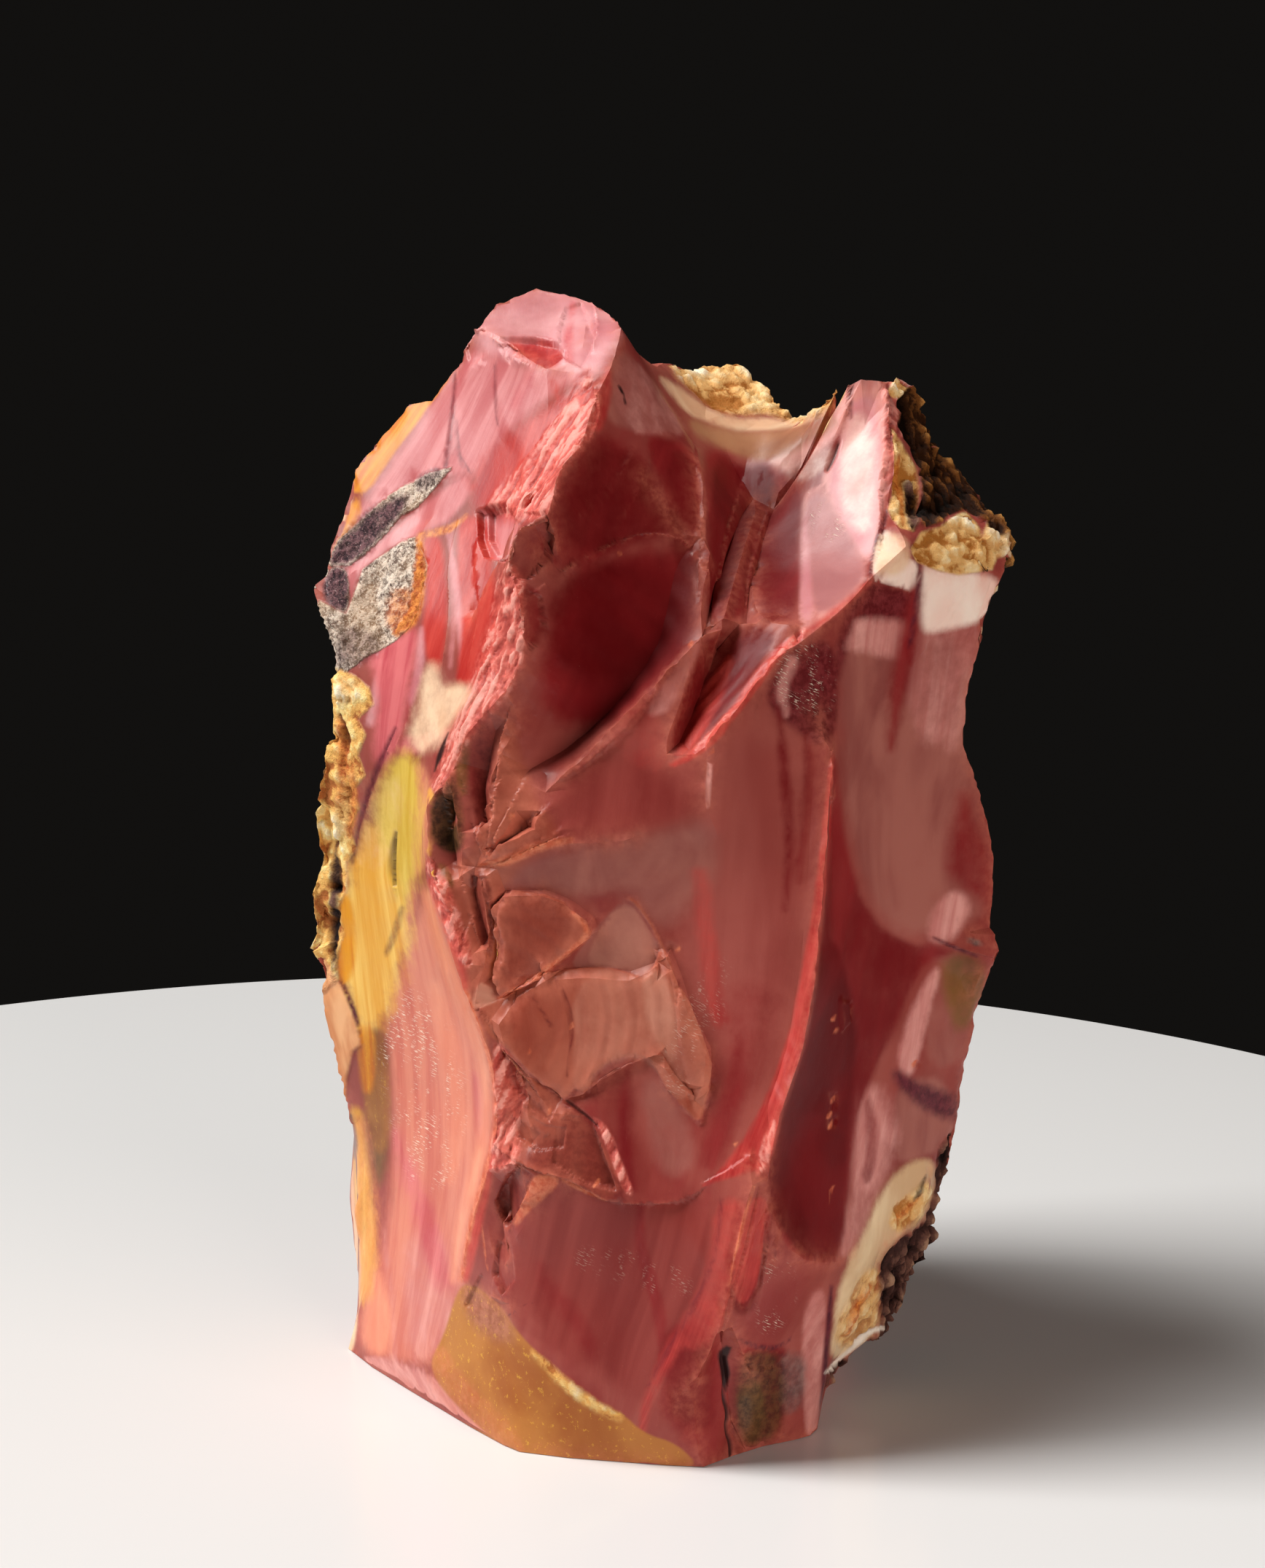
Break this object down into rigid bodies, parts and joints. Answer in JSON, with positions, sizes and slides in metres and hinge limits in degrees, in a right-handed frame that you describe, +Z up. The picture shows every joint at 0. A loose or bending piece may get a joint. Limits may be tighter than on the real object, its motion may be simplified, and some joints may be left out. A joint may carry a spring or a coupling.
{
  "type": "mookaite jasper freeform",
  "caption": "Upright natural jasper freeform with hollow flaked faces, sharp ridges and patches of weathered crust, standing on a sawn flat base.",
  "frame": {"origin": "centre of the stone's box at the flat base", "axes": "+Z up the stone's height, -Y towards the broad front face, +X to its right"},
  "size_m": [0.1032, 0.094, 0.1609],
  "materials": {
    "mookaite_jasper": "waxy satin fracture faces in dusty rose, burgundy, pink, cream and mustard, with matt ochre and brown weathered crust"
  },
  "bodies": {
    "root": {"stone": "mookaite_jasper"}
  },
  "joints": []
}
